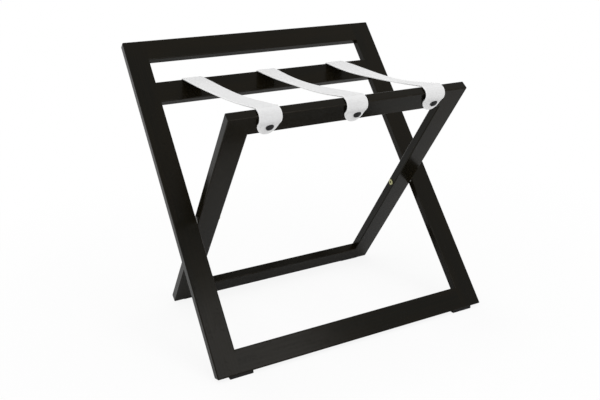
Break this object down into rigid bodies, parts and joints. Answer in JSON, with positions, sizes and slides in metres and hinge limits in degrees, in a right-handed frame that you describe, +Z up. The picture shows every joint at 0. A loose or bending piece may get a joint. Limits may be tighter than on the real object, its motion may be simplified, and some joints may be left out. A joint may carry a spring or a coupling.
{
  "type": "folding luggage rack",
  "caption": "Folding X-frame luggage rack of dark stained wood: two crossed frames on pivot bolts, a backrest rail and flat leather straps across the top.",
  "frame": {"origin": "on the floor, under the middle of the rack's bounding box", "axes": "+Z up, +X along the rails from the left stile to the right one, +Y to the rear, towards the wall and the backrest"},
  "size_m": [0.6, 0.452, 0.5758],
  "materials": {
    "dark_wood": "near-black stained hardwood, satin lacquer",
    "beech": "plain beech dowel, fluted and glued",
    "brass": "satin brass",
    "nylon": "plain nylon sleeves and washers",
    "leather": "light grey leather, fine grain, matte",
    "black_plastic": "black domed cap, satin",
    "screw_steel": "zinc-plated screw",
    "rubber": "dark rubber, matte"
  },
  "bodies": {
    "outer_frame": {"outer_left_stile": "dark_wood", "outer_right_stile": "dark_wood", "backrest_rail": "dark_wood", "rear_strap_rail": "dark_wood", "outer_bottom_rail": "dark_wood", "outer_frame_dowels": "beech", "left_pivot_bolt": "brass", "right_pivot_bolt": "brass", "left_pivot_washer": "nylon", "right_pivot_washer": "nylon", "left_threaded_insert": "brass", "right_threaded_insert": "brass", "strap_left": "leather", "strap_centre": "leather", "strap_right": "leather", "rear_strap_caps": "black_plastic", "rear_strap_screws": "screw_steel", "outer_left_foot": "rubber", "outer_right_foot": "rubber", "outer_foot_screws": "screw_steel"},
    "inner_frame": {"inner_left_stile": "dark_wood", "inner_right_stile": "dark_wood", "front_strap_rail": "dark_wood", "inner_bottom_rail": "dark_wood", "inner_frame_dowels": "beech", "left_pivot_bush": "nylon", "right_pivot_bush": "nylon", "front_strap_caps": "black_plastic", "front_strap_screws": "screw_steel", "inner_left_foot": "rubber", "inner_right_foot": "rubber", "inner_foot_screws": "screw_steel"}
  },
  "joints": [
    {"name": "fold", "type": "hinge", "parent": "outer_frame", "child": "inner_frame", "pos_m": [0, -0.02558, 0.24576], "axis": [-1, 0, 0], "range_deg": [0, 71], "deforming": ["strap_left", "strap_centre", "strap_right"]}
  ]
}
